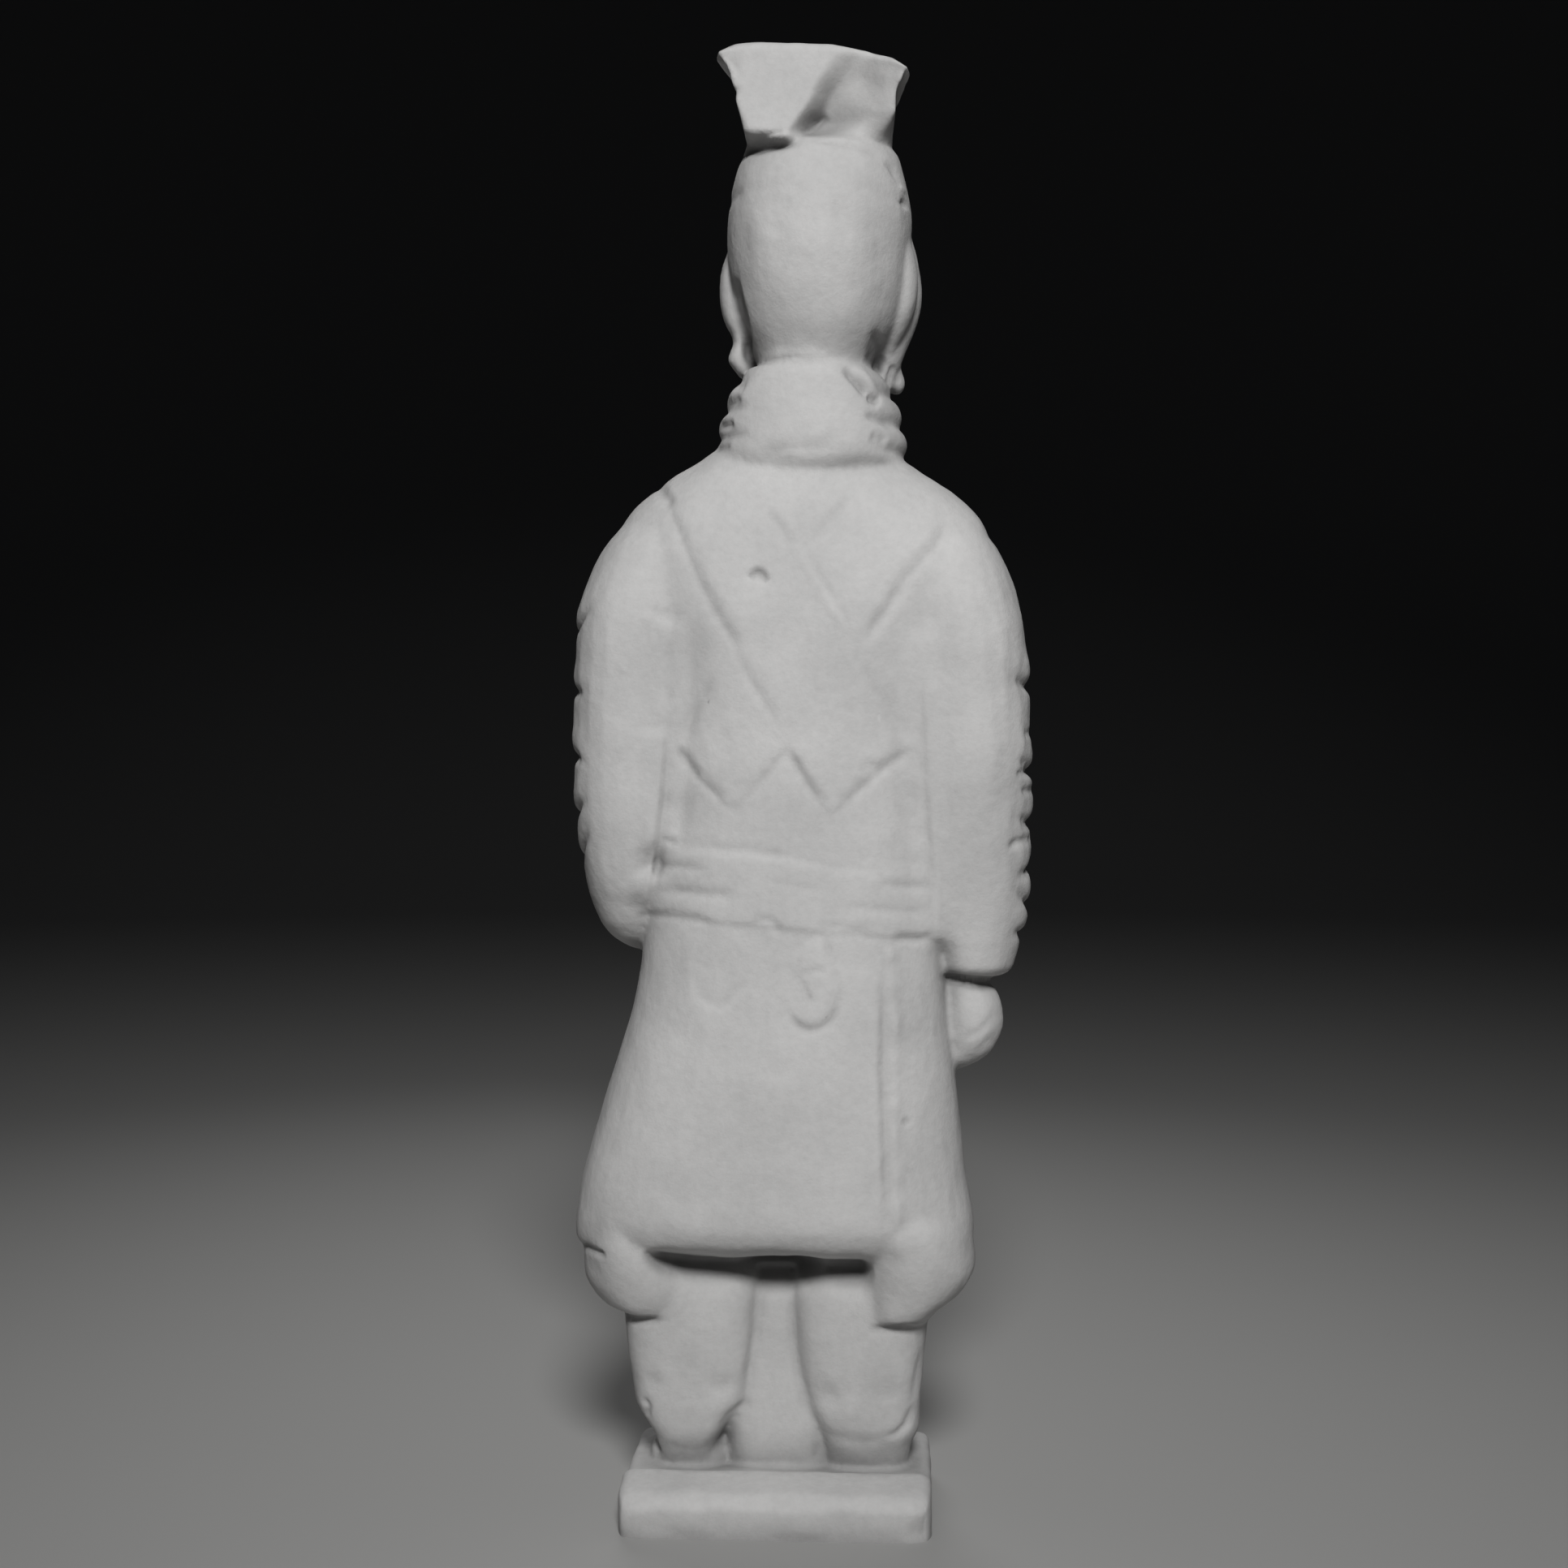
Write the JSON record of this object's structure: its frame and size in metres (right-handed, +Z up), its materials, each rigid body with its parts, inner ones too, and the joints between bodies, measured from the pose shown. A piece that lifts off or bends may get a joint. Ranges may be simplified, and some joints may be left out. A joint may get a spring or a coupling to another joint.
{
  "type": "warrior statue",
  "caption": "Standing robed warrior figure cast in one with a thin plinth; a small matte pale-clay statuette that rests on a shelf.",
  "frame": {"origin": "centre of the plinth's underside, the face that the statuette rests on", "axes": "+Z up along the figure's height; the figure faces -Y; +X is on the figure's own left"},
  "size_m": [0.0631, 0.0336, 0.1984],
  "materials": {
    "pale_clay": "unpainted, unglazed fired clay, matte, pale neutral grey, with softly worn edges"
  },
  "bodies": {
    "root": {"warrior_statuette": "pale_clay"}
  },
  "joints": []
}
